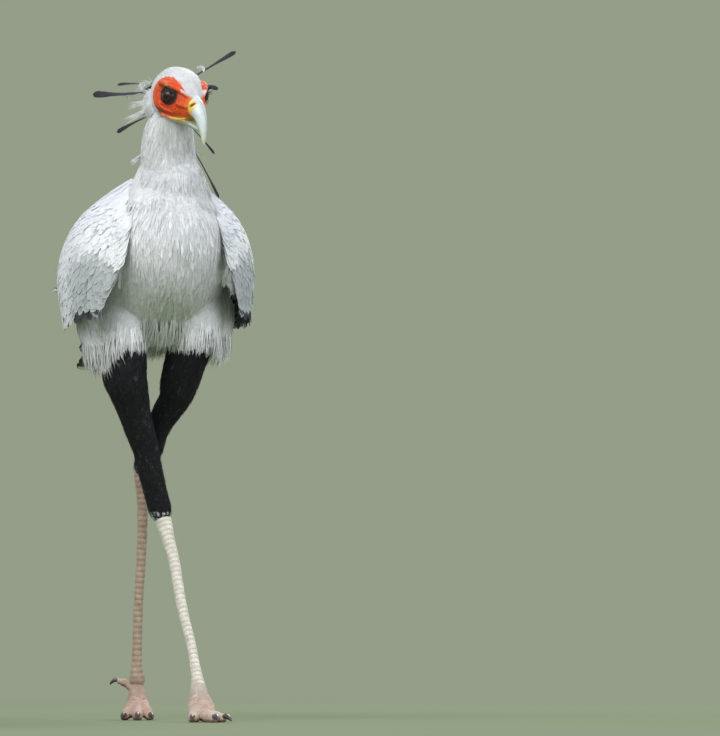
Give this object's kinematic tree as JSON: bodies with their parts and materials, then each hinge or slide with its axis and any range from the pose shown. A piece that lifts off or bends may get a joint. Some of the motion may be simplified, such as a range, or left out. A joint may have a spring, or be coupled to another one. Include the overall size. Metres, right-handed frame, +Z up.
{
  "type": "secretary bird model",
  "caption": "Life-size still model of a secretary bird, a long-legged bird of prey, walking with its crest spread and its long tail held out behind.",
  "frame": {"origin": "middle of the whole bird's bounding box, on the floor", "axes": "+Z up, the bird walks towards -Y, its left side is +X"},
  "size_m": [0.3114, 0.9529, 1.0241],
  "materials": {
    "white_plumage": "white and pale grey small feathers, orange bare skin on the face",
    "grey_plumage": "pale grey feathers, black flight feathers",
    "black_plumage": "black small feathers",
    "leg_skin": "pale pinkish scaled skin",
    "horn": "blue-grey horn with a yellow cere",
    "claw": "near-black horn",
    "eye": "wet brown eye"
  },
  "bodies": {
    "root": {"torso": "white_plumage", "neck": "white_plumage", "head": "white_plumage", "eye_left": "eye", "eye_right": "eye", "bill_upper": "horn", "bill_lower": "horn", "wing_left": "grey_plumage", "wing_right": "grey_plumage", "tail": "grey_plumage", "thigh_right": "black_plumage", "tibia_right": "black_plumage", "tarsus_right": "leg_skin", "foot_right": "leg_skin", "toe_inner_right": "leg_skin", "claw_inner_right": "claw", "toe_middle_right": "leg_skin", "claw_middle_right": "claw", "toe_outer_right": "leg_skin", "claw_outer_right": "claw", "toe_hallux_right": "leg_skin", "claw_hallux_right": "claw", "thigh_left": "black_plumage", "tibia_left": "black_plumage", "tarsus_left": "leg_skin", "foot_left": "leg_skin", "toe_inner_left": "leg_skin", "claw_inner_left": "claw", "toe_middle_left": "leg_skin", "claw_middle_left": "claw", "toe_outer_left": "leg_skin", "claw_outer_left": "claw", "toe_hallux_left": "leg_skin", "claw_hallux_left": "claw"}
  },
  "joints": []
}
